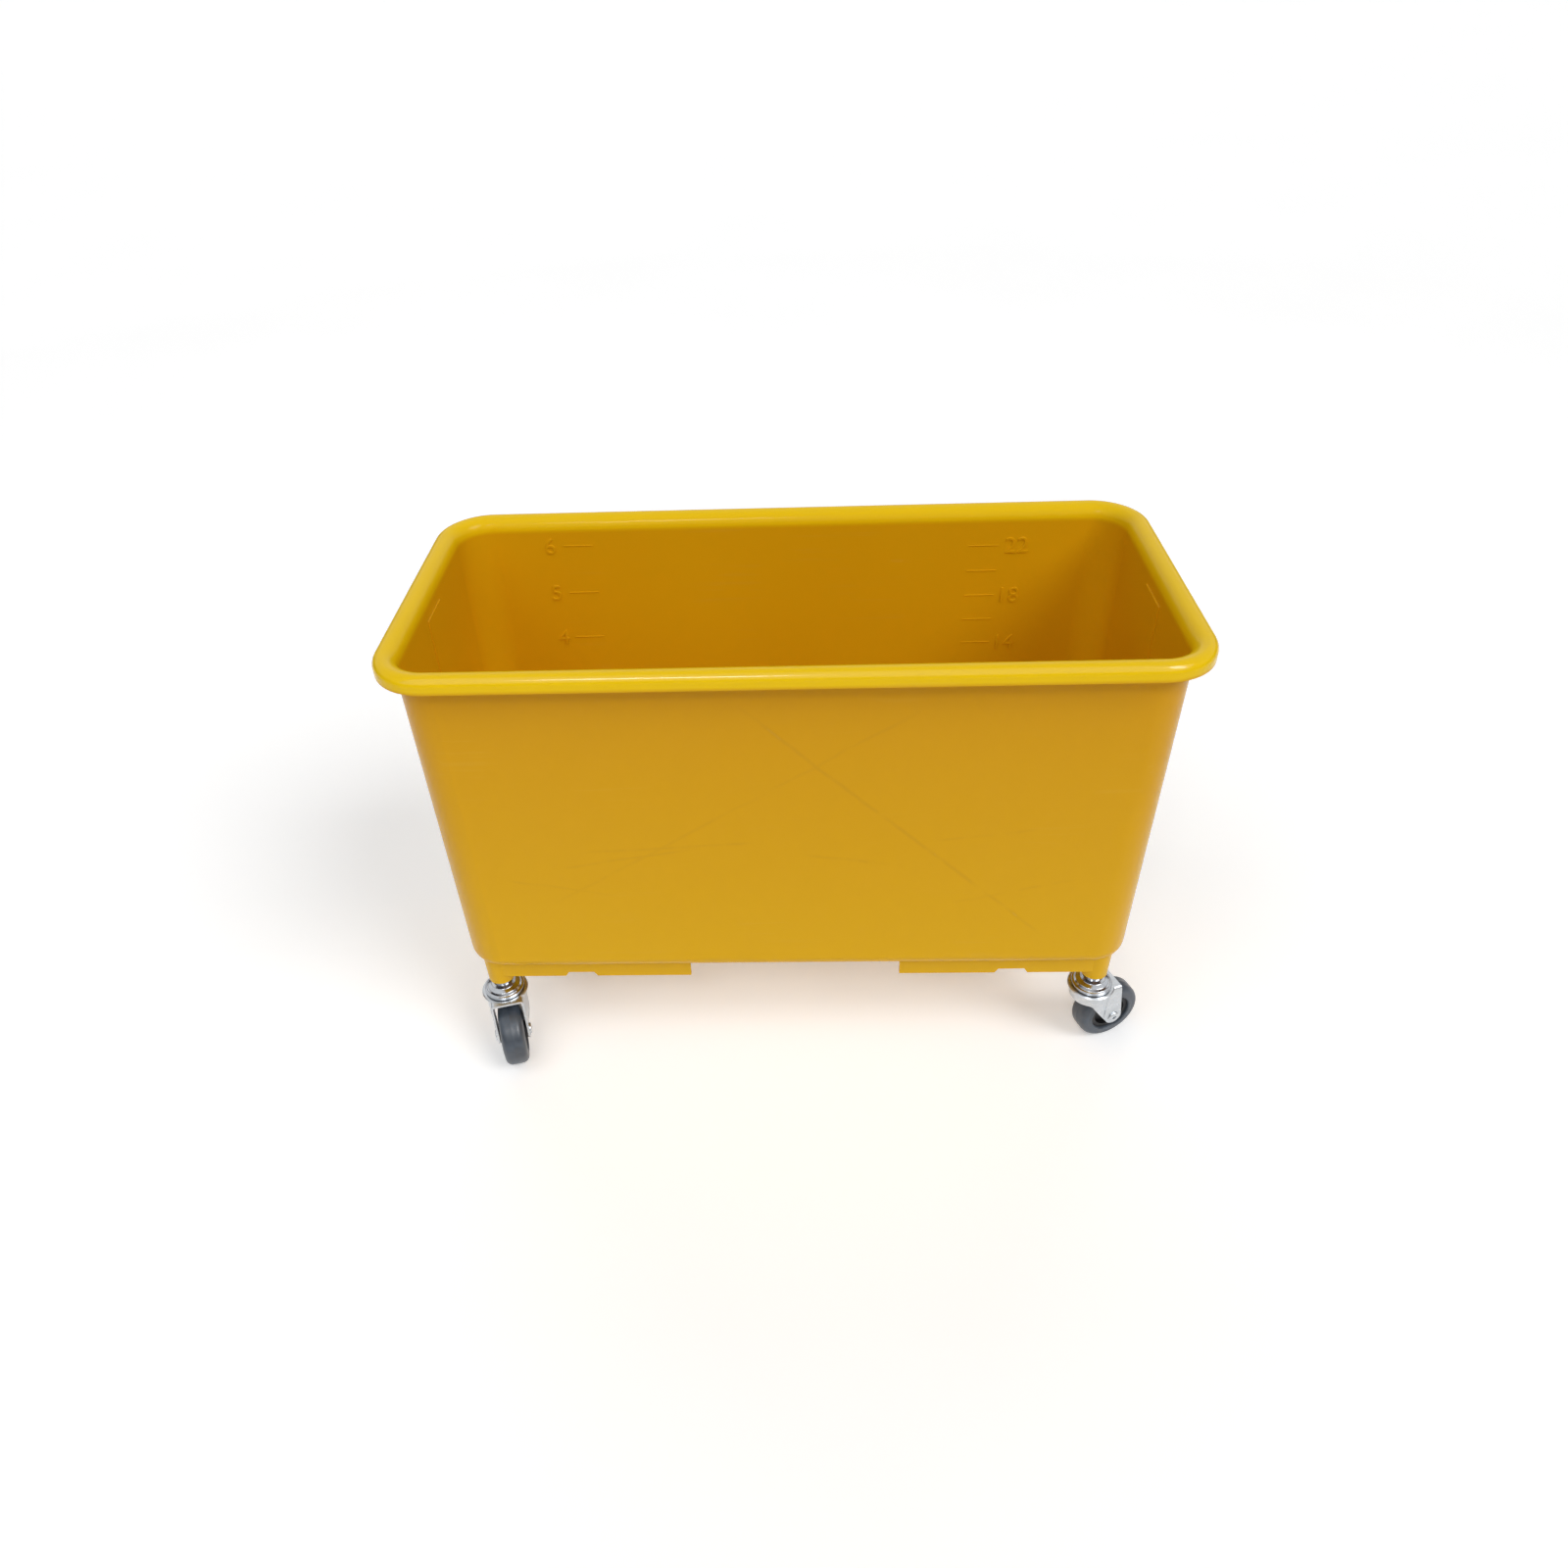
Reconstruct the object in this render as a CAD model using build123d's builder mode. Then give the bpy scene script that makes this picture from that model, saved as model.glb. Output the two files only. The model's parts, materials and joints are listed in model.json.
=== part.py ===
from math import atan2, degrees
import os

from build123d import *

# Window washing trolley: one moulded rectangular tub with a rolled rim and level marks for
# 22 litres, standing on four swivel castors pushed into posts under its corners.
# X runs along the tub, Y to its back, Z up, and the floor is at Z 0 under the middle.

# Tub
rim_length = 515.0
rim_width = 235.0
rim_corner = 38.0
rim_overhang = 12.2
rim_drop = 11.0
rim_sheet = 2.8
rim_outer_roll = 6.0
rim_crest = 0.2
rim_root_flat = 0.4
tub_height = 264.0
wall = 3.0
draft = 3.0
floor_corner = 27.0
floor_thickness = 3.5
outer_floor_radius = 11.0
inner_floor_radius = 8.0

# Shallow raised pad down the inside of each end wall
end_pad_width = 32.0
end_pad_height = 0.8
end_pad_below_rim = 18.0

# Base skirt and castor posts
post_inset_x = 18.4
post_inset_y = 17.8
post_drop = 23.0
post_foot_radius = 9.8
post_draft_angle = 1.6
skirt_inset = 8.6
skirt_wall = 3.0
skirt_drop = 15.2
skirt_gap = 155.0
notch_from_middle = 160.0
notch_width = 24.0
notch_height = 4.0
notch_slope = 2.5

# Castor wheel
wheel_diameter = 50.0
tyre_width = 18.5
tyre_shoulder = 5.0
tyre_depth = 9.0
hub_rim_depth = 3.2
hub_rim_width = 14.0
hub_web = 6.0
hub_boss_radius = 7.2
hub_edge = 0.6
hub_end_play = 0.3
wheel_running_clearance = 0.06

# Castor fork, pressed from one sheet
trail_length = 17.0
fork_sheet = 1.6
fork_bend = 2.6
wheel_side_gap = 1.6
wheel_top_gap = 6.4
crown_radius = 17.5
crown_lip = 2.2
crown_lip_edge = 0.7
drum_radius = 15.2
leg_end_radius = 6.8
saddle_reach = 18.8
front_skirt_drop = 10.4
apron_start = -7.0
apron_blend = 5.0

# Swivel race, ball rows above and below the fork's crown
upper_ball = 4.0
upper_ball_count = 12
upper_ball_ring_radius = 10.6
lower_ball = 3.2
lower_ball_count = 10
lower_ball_ring_radius = 7.0
race_groove = 0.6
race_play = 0.05

# Upper cup, a stepped pressing: neck, dome, step and lip from the top down
cup_sheet = 1.2
cup_gap = 0.8
cup_rise = 6.1
cup_neck_radius = 7.8
cup_neck_drop = 2.4
cup_dome_radius = 9.1
cup_step_radius = 13.4
cup_radius = 15.0
cup_lip_height = 2.0
cup_step_height = 2.3
cup_slope = 1.2
cup_round = 0.8

# Lower cup
lower_cup_radius = 9.6
lower_cup_sheet = 1.5
lower_cup_lip = 1.0

# Stem, its spring ring and the axle
pin_radius = 4.0
pin_clearance = 0.35
pin_head_radius = 6.2
pin_head_height = 1.6
pin_head_edge = 0.5
collar_radius = 7.0
collar_height = 4.5
stem_radius = 5.4
stem_length = 20.0
stem_tip = 1.0
ring_width = 4.0
ring_groove = 1.0
ring_from_tip = 5.0
ring_slot = 2.0
socket_clearance = 0.6
socket_end_room = 1.0
seat_clearance = 0.05
sleeve_radius = 4.0
rivet_radius = 3.0
rivet_head_radius = 4.4
rivet_head_height = 1.5
rivet_head_edge = 0.4
rivet_hollow_radius = 1.5
rivet_hollow_depth = 1.6

# How each castor was left standing: direction of its trail, in degrees from X
headings = {
    "front_left": -75.0,
    "front_right": 22.0,
    "rear_right": 105.0,
    "rear_left": 202.0,
}

# Heights of the castor, from the floor up
axle_z = wheel_diameter / 2
crown_under = wheel_diameter + wheel_top_gap
crown_top = crown_under + fork_sheet
upper_ball_z = crown_top - race_groove + upper_ball / 2 + race_play
cup_race_z = upper_ball_z + upper_ball / 2 + race_play - race_groove
cup_top = cup_race_z + cup_rise
post_foot = cup_top + collar_height
lower_ball_z = crown_under + race_groove - lower_ball / 2 - race_play
lower_race_z = lower_ball_z - lower_ball / 2 - race_play + race_groove
lower_cup_under = lower_race_z - lower_cup_sheet

# Heights and half sizes of the tub
tub_under = post_foot + post_drop
tub_floor = tub_under + floor_thickness
rim_top = tub_under + tub_height
rim_foot = rim_top - rim_drop
wall_length = rim_length - 2 * rim_overhang
wall_width = rim_width - 2 * rim_overhang
wall_corner = rim_corner - rim_overhang
floor_length = wall_length - 2 * draft
floor_width = wall_width - 2 * draft
post_x = floor_length / 2 - post_inset_x
post_y = floor_width / 2 - post_inset_y

# Half widths inside the fork
leg_inner = tyre_width / 2 + wheel_side_gap
leg_outer = leg_inner + fork_sheet
hub_radius = wheel_diameter / 2 - tyre_depth
boss_half = leg_inner - hub_end_play
socket_radius = stem_radius + socket_clearance


# Cavity of the tub, drafted, with a swept radius round its floor
with BuildPart() as cavity:
    with BuildSketch(Plane.XY.offset(tub_under)):
        RectangleRounded(floor_length - 2 * wall, floor_width - 2 * wall, floor_corner - wall)
    with BuildSketch(Plane.XY.offset(rim_top)):
        RectangleRounded(wall_length - 2 * wall, wall_width - 2 * wall, wall_corner - wall)
    loft(ruled=True)
    split(bisect_by=Plane.XY.offset(tub_floor), keep=Keep.TOP)
    fillet(cavity.faces().sort_by(Axis.Z)[0].edges(), radius=inner_floor_radius)
    # the end walls stand in by the pad's thickness, and the pads fade out in the floor radius
    pad_foot = tub_floor + inner_floor_radius
    pad_top = rim_top - end_pad_below_rim
    foot_half = floor_length / 2 - wall - end_pad_height
    for side in (-1, 1):
        with BuildSketch(Plane.XZ):
            with BuildLine():
                lean = draft / tub_height
                low = side * (foot_half + lean * (pad_foot - tub_under))
                high = side * (foot_half + lean * (pad_top - tub_under))
                out = side * 2 * end_pad_height
                Polyline(
                    (low, pad_foot),
                    (high, pad_top),
                    (high + out, pad_top),
                    (low + out, pad_foot),
                    close=True,
                )
            make_face()
        extrude(amount=end_pad_width / 2, both=True, mode=Mode.SUBTRACT)

# Tub: rolled rim, walls, base skirt and castor posts in one moulding
with BuildPart() as tub:
    # rim tray, open below, so that the roll is hollow and gives the fingers a hold
    with BuildSketch(Plane.XY.offset(rim_foot)):
        RectangleRounded(rim_length, rim_width, rim_corner)
    extrude(amount=rim_drop)
    with BuildSketch(Plane.XY.offset(rim_foot)):
        RectangleRounded(rim_length - 2 * rim_sheet, rim_width - 2 * rim_sheet, rim_corner - rim_sheet)
    extrude(amount=rim_drop - rim_sheet, mode=Mode.SUBTRACT)
    fillet(tub.faces().sort_by(Axis.Z)[-1].edges(), radius=rim_outer_roll)
    ceiling = tub.faces().filter_by(Axis.Z).sort_by(Axis.Z)[1]
    fillet(ceiling.edges(), radius=rim_outer_roll - rim_sheet)

    # drafted walls and floor
    with BuildSketch(Plane.XY.offset(tub_under)):
        RectangleRounded(floor_length, floor_width, floor_corner)
    with BuildSketch(Plane.XY.offset(rim_top)):
        RectangleRounded(wall_length, wall_width, wall_corner)
    loft(ruled=True)
    roll_root = tub.faces().filter_by(Axis.Z).filter_by_position(Axis.Z, rim_foot, rim_top, (False, False))
    fillet(roll_root[0].inner_wires()[0].edges(), radius=rim_overhang - rim_outer_roll - rim_root_flat)
    fillet(tub.faces().sort_by(Axis.Z)[0].edges(), radius=outer_floor_radius)

    # posts widen upwards, the way the mould draws
    with BuildSketch(Plane.XY.offset(post_foot)):
        with GridLocations(2 * post_x, 2 * post_y, 2, 2):
            Circle(post_foot_radius)
    extrude(amount=tub_floor - post_foot, taper=-post_draft_angle)

    # skirt: whole along both ends, and open in the middle of both long sides for the hands
    skirt_x = floor_length / 2 - skirt_inset - skirt_wall / 2
    skirt_y = floor_width / 2 - skirt_inset - skirt_wall / 2
    with BuildSketch(Plane.XY.offset(tub_under - skirt_drop)):
        with GridLocations(2 * skirt_x, 0, 2, 1):
            Rectangle(skirt_wall, 2 * post_y)
        for side in (-1, 1):
            with Locations((side * (skirt_gap / 2 + post_x) / 2, 0)):
                with GridLocations(0, 2 * skirt_y, 1, 2):
                    Rectangle(post_x - skirt_gap / 2, skirt_wall)
    extrude(amount=tub_floor - tub_under + skirt_drop)
    notch_angle = degrees(atan2(notch_height, notch_slope))
    for side in (-1, 1):
        with BuildSketch(Plane.XZ.offset(-floor_width / 2)):
            with Locations((side * notch_from_middle, tub_under - skirt_drop)):
                Trapezoid(notch_width, notch_height, notch_angle, align=(Align.CENTER, Align.MIN))
        extrude(amount=floor_width, mode=Mode.SUBTRACT)

    # blind sockets for the castor stems
    with BuildSketch(Plane.XY.offset(post_foot)):
        with GridLocations(2 * post_x, 2 * post_y, 2, 2):
            Circle(socket_radius)
    extrude(amount=stem_length + socket_end_room, mode=Mode.SUBTRACT)

    add(cavity.part, mode=Mode.SUBTRACT)
    rim_face = tub.faces().filter_by(Axis.Z).sort_by(Axis.Z)[-1]
    fillet(rim_face.inner_wires()[0].edges(), radius=rim_overhang + wall - rim_outer_roll - rim_crest)


# The castor is made once, with its swivel axis on Z and its wheel trailing along +X.
# Stem: shaft for the post, collar, and below it the king pin with its riveted head
with BuildPart() as stem:
    with BuildSketch(Plane.XZ):
        with BuildLine():
            stem_top = post_foot + stem_length
            groove_top = stem_top - ring_from_tip
            groove_foot = groove_top - ring_width
            groove_radius = stem_radius - ring_groove
            head_foot = lower_cup_under - pin_head_height
            Polyline(
                (0, head_foot),
                (pin_head_radius - pin_head_height + pin_head_edge, head_foot),
                (pin_head_radius, lower_cup_under - pin_head_edge),
                (pin_head_radius, lower_cup_under),
                (pin_radius, lower_cup_under),
                (pin_radius, cup_top),
                (collar_radius, cup_top),
                (collar_radius, post_foot),
                (stem_radius, post_foot),
                (stem_radius, groove_foot),
                (groove_radius, groove_foot),
                (groove_radius, groove_top),
                (stem_radius, groove_top),
                (stem_radius, stem_top - stem_tip),
                (stem_radius - stem_tip, stem_top),
                (0, stem_top),
                close=True,
            )
        make_face()
    revolve(axis=Axis.Z)

# Split spring ring in the stem's groove, which grips the post's socket
with BuildPart() as grip_ring:
    with BuildSketch(Plane.XY.offset(groove_foot + seat_clearance)):
        Circle(socket_radius - seat_clearance)
        Circle(groove_radius + seat_clearance, mode=Mode.SUBTRACT)
        with Locations((socket_radius, 0)):
            Rectangle(2 * socket_radius, ring_slot, mode=Mode.SUBTRACT)
    extrude(amount=ring_width - 2 * seat_clearance)

# Upper cup: stepped, domed pressing that holds the upper balls and keeps dust out
with BuildPart() as upper_cup:
    with BuildSketch(Plane.XZ):
        with BuildLine():
            cup_edge = crown_top + cup_gap
            lip_top = cup_edge + cup_lip_height
            dome_foot = cup_top - cup_neck_drop
            Polyline(
                (pin_radius + seat_clearance, cup_top),
                (cup_neck_radius, cup_top),
                (cup_dome_radius, dome_foot),
                (cup_step_radius - cup_slope, lip_top + cup_step_height),
                (cup_step_radius, lip_top + cup_slope / 3),
                (cup_radius, lip_top),
                (cup_radius, cup_edge),
                (cup_radius - cup_sheet, cup_edge),
                (cup_radius - cup_sheet, cup_race_z),
                (cup_neck_radius, cup_race_z),
                (cup_neck_radius - cup_sheet, dome_foot),
                (pin_radius + seat_clearance, cup_top - cup_sheet),
                close=True,
            )
        make_face()
        outer = vertices().filter_by_position(Axis.X, cup_dome_radius, cup_radius)
        fillet(outer.filter_by_position(Axis.Y, lip_top, dome_foot), radius=cup_round)
    revolve(axis=Axis.Z)
    with BuildSketch(Plane.XZ):
        with Locations((upper_ball_ring_radius, upper_ball_z)):
            Circle(upper_ball / 2 + race_play)
    revolve(axis=Axis.Z, mode=Mode.SUBTRACT)

# Balls of both rows
with BuildPart(Plane.XY.offset(upper_ball_z)) as upper_balls:
    with PolarLocations(upper_ball_ring_radius, upper_ball_count):
        Sphere(upper_ball / 2)

with BuildPart(Plane.XY.offset(lower_ball_z)) as lower_balls:
    with PolarLocations(lower_ball_ring_radius, lower_ball_count):
        Sphere(lower_ball / 2)

# Lower cup: dished race held up by the king pin's head
with BuildPart() as lower_cup:
    with BuildSketch(Plane.XZ):
        with BuildLine():
            Polyline(
                (pin_radius + seat_clearance, lower_cup_under),
                (lower_cup_radius - lower_cup_lip, lower_cup_under),
                (lower_cup_radius, lower_cup_under + lower_cup_lip),
                (lower_cup_radius, lower_race_z + lower_cup_lip),
                (lower_cup_radius - lower_cup_lip, lower_race_z + lower_cup_lip),
                (lower_cup_radius - lower_cup_lip, lower_race_z),
                (pin_radius + seat_clearance, lower_race_z),
                close=True,
            )
        make_face()
    revolve(axis=Axis.Z)
    with BuildSketch(Plane.XZ):
        with Locations((lower_ball_ring_radius, lower_ball_z)):
            Circle(lower_ball / 2 + race_play)
    revolve(axis=Axis.Z, mode=Mode.SUBTRACT)

# Side outline of the fork: the legs narrow from the crown to a round end at the axle, and the
# front skirt runs on forward from them
with BuildPart() as fork_outline:
    with BuildSketch(Plane.XZ):
        skirt_foot = crown_top - front_skirt_drop
        above_crown = front_skirt_drop + crown_lip
        with Locations((apron_start, skirt_foot)):
            Rectangle(saddle_reach - apron_start, above_crown, align=(Align.MIN, Align.MIN))
        with Locations((trail_length, axle_z)):
            Circle(leg_end_radius)
        make_hull()
        with Locations((apron_start, skirt_foot)):
            Rectangle(2 * crown_radius, above_crown, align=(Align.MAX, Align.MIN))
        fillet(vertices().sort_by_distance((apron_start, skirt_foot))[0], radius=apron_blend)
    extrude(amount=2 * crown_radius, both=True)

# Hollow of the pressing, open below and to the trailing side
with BuildPart() as fork_hollow:
    with BuildSketch(Plane.XY):
        Circle(drum_radius - fork_sheet)
        Rectangle(3 * trail_length, 2 * leg_inner, align=(Align.MIN, Align.CENTER))
    extrude(amount=crown_under)
    fillet(fork_hollow.faces().sort_by(Axis.Z)[-1].edges(), radius=fork_bend - fork_sheet)

# Fork: flat crown with its turned lip, drum-shaped front and two flat legs
with BuildPart() as fork:
    with BuildSketch(Plane.XY):
        Circle(drum_radius)
        Rectangle(2 * trail_length, 2 * leg_outer, align=(Align.MIN, Align.CENTER))
    extrude(amount=crown_top)
    fillet(fork.edges().filter_by(Axis.X).group_by(Axis.Z)[-1], radius=fork_bend)
    add(fork_hollow.part, mode=Mode.SUBTRACT)
    add(fork_outline.part, mode=Mode.INTERSECT)
    with BuildSketch(Plane.XZ):
        with Locations((drum_radius - fork_sheet, crown_top)):
            Rectangle(crown_radius - drum_radius + fork_sheet, crown_lip, align=(Align.MIN, Align.MAX))
        chamfer(vertices().group_by(Axis.X)[-1], length=crown_lip_edge)
    revolve(axis=Axis.Z)
    # hole for the king pin, ball grooves above and below it, axle holes
    with BuildSketch(Plane.XY.offset(crown_under)):
        Circle(pin_radius + pin_clearance)
    extrude(amount=fork_sheet, mode=Mode.SUBTRACT)
    with BuildSketch(Plane.XZ):
        with Locations((upper_ball_ring_radius, upper_ball_z)):
            Circle(upper_ball / 2 + race_play)
        with Locations((lower_ball_ring_radius, lower_ball_z)):
            Circle(lower_ball / 2 + race_play)
    revolve(axis=Axis.Z, mode=Mode.SUBTRACT)
    with BuildSketch(Plane.XZ.offset(-leg_outer)):
        with Locations((trail_length, axle_z)):
            Circle(rivet_radius + seat_clearance)
    extrude(amount=2 * leg_outer, mode=Mode.SUBTRACT)

# Sleeve between the legs, on which the wheel turns
with BuildPart() as axle_sleeve:
    with BuildSketch(Plane.XZ.offset(-leg_inner)):
        with Locations((trail_length, axle_z)):
            Circle(sleeve_radius)
            Circle(rivet_radius + seat_clearance, mode=Mode.SUBTRACT)
    extrude(amount=2 * leg_inner)

# Rivet through legs and sleeve, with a hollow rolled head on each side
axle_plane = Plane(origin=(trail_length, 0, axle_z), x_dir=(1, 0, 0), z_dir=(0, 0, 1))
axle_line = Axis((trail_length, 0, axle_z), (0, 1, 0))
with BuildPart() as axle_rivet:
    with BuildSketch(axle_plane):
        head_half = leg_outer + rivet_head_height / 2
        Rectangle(rivet_radius, leg_outer, align=(Align.MIN, Align.MIN))
        with Locations((0, head_half)):
            Rectangle(rivet_head_radius, rivet_head_height, align=(Align.MIN, Align.CENTER))
        corner = vertices().group_by(Axis.Y)[-1].sort_by(Axis.X)[-1]
        fillet(corner, radius=rivet_head_height - rivet_head_edge)
        with Locations((0, leg_outer + rivet_head_height)):
            Rectangle(
                rivet_hollow_radius,
                rivet_hollow_depth,
                align=(Align.MIN, Align.MAX),
                mode=Mode.SUBTRACT,
            )
    revolve(axis=axle_line)
    mirror(about=Plane.XZ)

# Hub: boss, web and rim under the tyre
with BuildPart() as wheel_hub:
    with BuildSketch(axle_plane):
        bore = sleeve_radius + wheel_running_clearance
        with Locations((bore, 0)):
            Rectangle(hub_radius - bore, hub_web / 2, align=(Align.MIN, Align.MIN))
            Rectangle(hub_boss_radius - bore, boss_half, align=(Align.MIN, Align.MIN))
        with Locations((hub_radius, 0)):
            Rectangle(hub_rim_depth, hub_rim_width / 2, align=(Align.MAX, Align.MIN))
        boss_corner = vertices().group_by(Axis.Y)[-1].sort_by(Axis.X)[-1]
        chamfer(boss_corner, length=hub_edge)
    revolve(axis=axle_line)
    mirror(about=Plane.XZ)

# Tyre: solid rubber with rounded shoulders
with BuildPart() as tyre:
    with BuildSketch(axle_plane):
        with Locations((hub_radius, 0)):
            Rectangle(tyre_depth, tyre_width, align=(Align.MIN, Align.CENTER))
        fillet(vertices().group_by(Axis.X)[-1], radius=tyre_shoulder)
    revolve(axis=axle_line)

castor_pieces = {
    "stem": stem.part,
    "grip_ring": grip_ring.part,
    "upper_cup": upper_cup.part,
    "upper_balls": upper_balls.part,
    "fork": fork.part,
    "lower_balls": lower_balls.part,
    "lower_cup": lower_cup.part,
    "axle_sleeve": axle_sleeve.part,
    "axle_rivet": axle_rivet.part,
    "wheel_hub": wheel_hub.part,
    "tyre": tyre.part,
}

tub.part.label = "tub"
os.makedirs("parts", exist_ok=True)
export_step(tub.part, "parts/tub.step")

for corner, heading in headings.items():
    x = post_x if corner.endswith("right") else -post_x
    y = post_y if corner.startswith("rear") else -post_y
    for piece, solid in castor_pieces.items():
        with BuildPart() as placed:
            with Locations(Location((x, y, 0), (0, 0, heading))):
                add(solid)
        placed.part.label = f"{piece}_{corner}"
        export_step(placed.part, f"parts/{placed.part.label}.step")
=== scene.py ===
import json
import math

import bmesh
import bpy
from mathutils import Matrix, Vector


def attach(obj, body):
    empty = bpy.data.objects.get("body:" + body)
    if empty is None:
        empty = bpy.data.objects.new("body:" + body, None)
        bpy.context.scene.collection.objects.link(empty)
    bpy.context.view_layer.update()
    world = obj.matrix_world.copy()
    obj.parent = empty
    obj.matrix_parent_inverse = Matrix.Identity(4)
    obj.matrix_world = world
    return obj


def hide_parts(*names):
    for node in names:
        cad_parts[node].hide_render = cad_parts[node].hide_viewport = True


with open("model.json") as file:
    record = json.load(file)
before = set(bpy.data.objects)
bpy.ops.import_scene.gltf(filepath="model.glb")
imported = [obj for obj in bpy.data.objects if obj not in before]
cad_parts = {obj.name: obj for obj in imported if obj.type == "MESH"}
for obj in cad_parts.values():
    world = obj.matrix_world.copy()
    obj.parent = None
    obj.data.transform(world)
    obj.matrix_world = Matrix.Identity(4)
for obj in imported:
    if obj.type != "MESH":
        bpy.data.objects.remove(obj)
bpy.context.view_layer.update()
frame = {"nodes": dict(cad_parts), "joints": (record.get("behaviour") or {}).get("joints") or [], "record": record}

nodes = frame["nodes"]
joints = {joint["name"]: joint for joint in frame["joints"]}
corners = ("front_left", "front_right", "rear_right", "rear_left")
mm = 0.001    # level marks and tyres are given in millimetres, materials and studio in metres


def feed(tree, socket, value):
    # a socket takes a link from another node or a plain value
    if isinstance(value, bpy.types.NodeSocket):
        tree.links.new(value, socket)
    else:
        socket.default_value = value


def addNode(tree, kind, inputs=None, **settings):
    made = tree.nodes.new(kind)
    for name, value in settings.items():
        setattr(made, name, value)
    for name, value in (inputs or {}).items():
        feed(tree, made.inputs[name], value)
    return made


def calc(tree, operation, first, second=0.0, clamp=False):
    inputs = {0: first, 1: second}
    return addNode(tree, "ShaderNodeMath", inputs, operation=operation, use_clamp=clamp).outputs[0]


def mixColour(tree, factor, first, second, blend="MIX"):
    # in a colour mix, sockets 6 and 7 are the two colours and output 2 is the result
    first, second = [(*tone, 1.0) if isinstance(tone, tuple) else tone for tone in (first, second)]
    inputs = {0: factor, 6: first, 7: second}
    return addNode(tree, "ShaderNodeMix", inputs, data_type="RGBA", blend_type=blend).outputs[2]


def spread(tree, value, low, high, newLow=0.0, newHigh=1.0, smooth=True):
    kind = "SMOOTHSTEP" if smooth else "LINEAR"
    inputs = {0: value, 1: low, 2: high, 3: newLow, 4: newHigh}
    made = addNode(tree, "ShaderNodeMapRange", inputs, interpolation_type=kind, clamp=True)
    return made.outputs[0]


def noise(tree, point, scale, detail=3.0, rough=0.5, distort=0.0):
    inputs = {"Vector": point, "Scale": scale, "Detail": detail, "Roughness": rough,
              "Distortion": distort}
    return addNode(tree, "ShaderNodeTexNoise", inputs).outputs[0]


def turned(tree, point, degrees, scale):
    inputs = {"Vector": point, "Rotation": [math.radians(a) for a in degrees], "Scale": scale}
    return addNode(tree, "ShaderNodeMapping", inputs).outputs[0]


def parted(tree, point):
    return addNode(tree, "ShaderNodeSeparateXYZ", {0: point}).outputs


def bump(tree, height, strength, distance):
    inputs = {"Height": height, "Strength": strength, "Distance": distance}
    return addNode(tree, "ShaderNodeBump", inputs).outputs[0]


def newGroup(name, inputs, outputs):
    # a tuple stands for a vector input, a number for a plain one with its usual value
    group = bpy.data.node_groups.new(name, "ShaderNodeTree")
    for label, value in inputs.items():
        isVector = isinstance(value, tuple)
        kind = "NodeSocketVector" if isVector else "NodeSocketFloat"
        socket = group.interface.new_socket(label, in_out="INPUT", socket_type=kind)
        if not isVector:
            socket.default_value = value
    for label in outputs:
        group.interface.new_socket(label, in_out="OUTPUT", socket_type="NodeSocketFloat")
    start = addNode(group, "NodeGroupInput").outputs
    end = addNode(group, "NodeGroupOutput").inputs
    return group, start, end


def useGroup(tree, group, inputs):
    return addNode(tree, "ShaderNodeGroup", inputs, node_tree=group).outputs


def emptyTree(holder):
    holder.use_nodes = True
    holder.node_tree.nodes.clear()
    return holder.node_tree


def newMaterial(name):
    material = bpy.data.materials.new(name)
    tree = emptyTree(material)
    shader = addNode(tree, "ShaderNodeBsdfPrincipled")
    addNode(tree, "ShaderNodeOutputMaterial", {0: shader.outputs[0]})
    point = addNode(tree, "ShaderNodeTexCoord").outputs["Object"]
    return material, tree, shader, point


def setShader(tree, shader, **values):
    names = {"colour": "Base Color", "rough": "Roughness", "metal": "Metallic",
             "normal": "Normal", "specular": "Specular IOR Level",
             "coat": "Coat Weight", "coatRough": "Coat Roughness"}
    for name, value in values.items():
        feed(tree, shader.inputs[names[name]], value)


def makeGrainGroup():
    # mould grain: fine pebble over a slow ripple, as light comes off moulded walls
    inputs = {"Point": (0, 0, 0), "Pebbles": 900.0, "Ripples": 9.0, "Ripple Share": 0.5}
    group, start, end = newGroup("mouldGrain", inputs, ("Height", "Tone"))
    pebble = noise(group, start["Point"], start["Pebbles"], detail=2.0, rough=0.6)
    ripple = noise(group, start["Point"], start["Ripples"], detail=1.5, rough=0.4, distort=0.3)
    mixed = addNode(group, "ShaderNodeMix", {0: start["Ripple Share"], 2: pebble, 3: ripple})
    feed(group, end["Height"], mixed.outputs[0])
    feed(group, end["Tone"], spread(group, ripple, 0.3, 0.7))
    return group


def makeHairGroup():
    # hair scratches: two crossing sets of noise drawn out along X, cut into short runs
    inputs = {"Point": (0, 0, 0), "Fineness": 160.0, "Amount": 0.5}
    group, start, end = newGroup("hairScratches", inputs, ("Mask",))
    sets = []
    for degrees in ((0, 28, 12), (15, -37, -20)):
        along = turned(group, start["Point"], degrees, scale=(0.045, 1, 1))
        lines = noise(group, along, start["Fineness"], detail=1.0, distort=0.6)
        sets.append(spread(group, lines, 0.655, 0.70))
    patches = spread(group, noise(group, start["Point"], 14.0, detail=2.0), 0.5, 0.68)
    runs = calc(group, "MULTIPLY", calc(group, "MAXIMUM", *sets), patches)
    feed(group, end["Mask"], calc(group, "MULTIPLY", runs, start["Amount"], clamp=True))
    return group


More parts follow.
